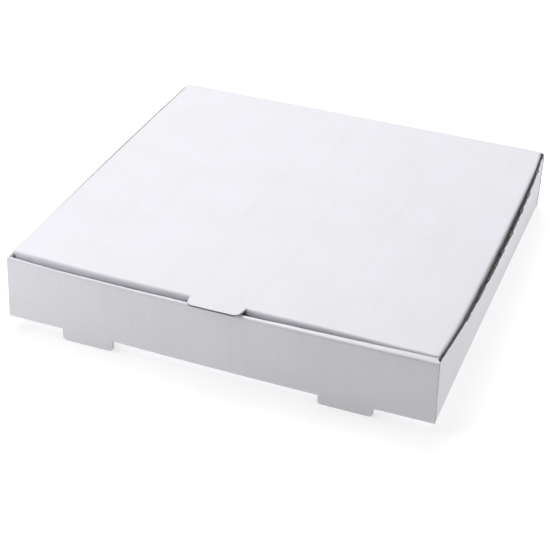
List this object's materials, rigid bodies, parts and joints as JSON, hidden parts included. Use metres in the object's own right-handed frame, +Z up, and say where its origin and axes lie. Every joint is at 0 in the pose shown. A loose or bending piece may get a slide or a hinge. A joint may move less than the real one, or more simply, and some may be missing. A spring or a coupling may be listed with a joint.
{
  "type": "pizza box",
  "caption": "Flat square white corrugated pizza box with a hinged tuck-in lid, a pull tab, a rolled-over front wall and feet below it.",
  "frame": {"origin": "under the middle of the closed box, at the lowest level of the feet", "axes": "+Z up through the lid, -Y out of the front wall where the pull tab is, +X to the right seen from the front"},
  "size_m": [0.3082, 0.3116, 0.0565],
  "materials": {
    "white_board": "matte, white-lined corrugated board"
  },
  "bodies": {
    "tray": {"tray": "white_board"},
    "lid": {"lid": "white_board"}
  },
  "joints": [
    {"name": "lid_hinge", "type": "hinge", "parent": "tray", "child": "lid", "pos_m": [0, 0.15527, 0.05602], "axis": [-1, 0, 0], "range_deg": [0, 180]}
  ]
}
